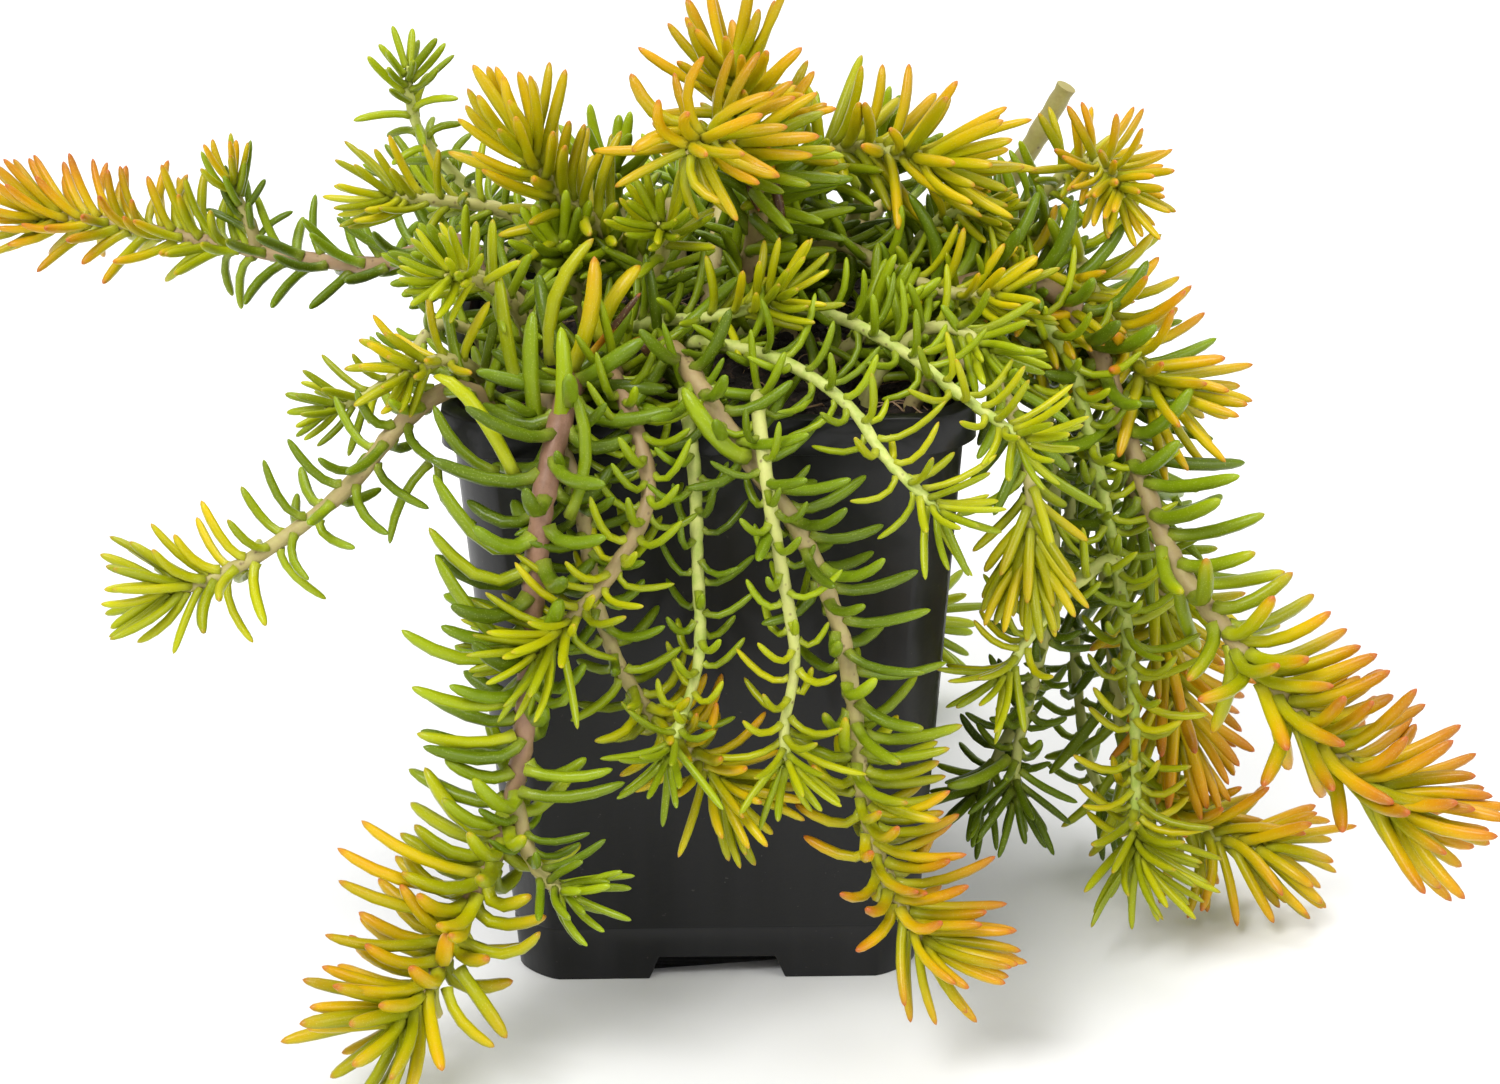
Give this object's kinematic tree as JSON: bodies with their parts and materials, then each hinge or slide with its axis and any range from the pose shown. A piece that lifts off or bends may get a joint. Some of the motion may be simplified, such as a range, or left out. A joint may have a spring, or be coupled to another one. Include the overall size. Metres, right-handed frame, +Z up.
{
  "type": "potted stonecrop plant",
  "caption": "Trailing golden stonecrop with needle-like fleshy leaves and long hanging stems, rooted in the soil of a deep square nursery pot.",
  "frame": {"origin": "middle of the pot's foot, on the surface that the pot stands on", "axes": "+Z up, +X to the right and +Y away from a viewer who faces the side that the two longest hanging stems are on"},
  "size_m": [0.2656, 0.1933, 0.1765],
  "materials": {
    "pot_plastic": "moulded black, slightly satin",
    "soil": "loose, dark and matt",
    "leaf_green": "waxy, semi-matt",
    "leaf_dark_green": "waxy, semi-matt",
    "leaf_lime": "waxy, semi-matt",
    "leaf_gold": "waxy, semi-matt",
    "leaf_orange": "waxy, semi-matt",
    "stem_bark": "dry and matt"
  },
  "bodies": {
    "root": {"pot": "pot_plastic", "soil": "soil", "stem_front_left": "leaf_green", "head_front_left": "leaf_gold", "stem_front_lime": "leaf_lime", "stem_front_thin": "leaf_green", "stem_front_pale": "leaf_lime", "stem_front_right": "leaf_green", "head_front_right": "leaf_gold", "stem_front_low": "leaf_green", "head_front_low": "leaf_gold", "stem_rim_lime": "leaf_lime", "stem_rim_right": "leaf_lime", "stem_middle_shoot": "leaf_lime", "stem_top_gold": "leaf_green", "head_top_gold": "leaf_gold", "stem_top_front": "leaf_gold", "stem_top_right": "leaf_green", "head_top_right": "leaf_gold", "stem_right_rosette": "leaf_green", "head_right_rosette": "leaf_gold", "stem_old_stalk": "stem_bark", "stem_right_small": "leaf_lime", "stem_right_middle": "leaf_lime", "stem_right_fan": "leaf_gold", "stem_right_gold": "leaf_green", "head_right_gold": "leaf_gold", "stem_left_lime": "leaf_lime", "stem_left_upright": "leaf_green", "stem_left_gold": "leaf_green", "head_left_gold": "leaf_gold", "stem_middle_rosette": "leaf_lime", "stem_left_rosette": "leaf_lime", "stem_left_knot": "leaf_lime", "stem_left_short": "leaf_lime", "stem_left_low": "leaf_lime", "stem_far_left": "leaf_green", "head_far_left": "leaf_gold", "stem_right_pale": "leaf_green", "stem_right_brown": "leaf_orange", "stem_right_dark": "leaf_dark_green", "stem_right_back": "leaf_dark_green", "stem_right_orange": "leaf_orange", "stem_far_right": "leaf_green", "head_far_right": "leaf_gold", "stem_right_low": "leaf_green", "head_right_low": "leaf_gold", "stem_right_bright": "leaf_lime", "stem_crown_left": "leaf_green", "stem_crown_middle": "leaf_green", "stem_crown_front": "leaf_green", "stem_crown_right": "leaf_green", "stem_crown_back": "leaf_green", "stem_back_left": "leaf_green", "stem_back_middle": "leaf_green", "stem_back_right": "leaf_green", "stem_back_corner": "leaf_green", "stem_back_reach": "leaf_green", "stem_back_short": "leaf_lime"}
  },
  "joints": []
}
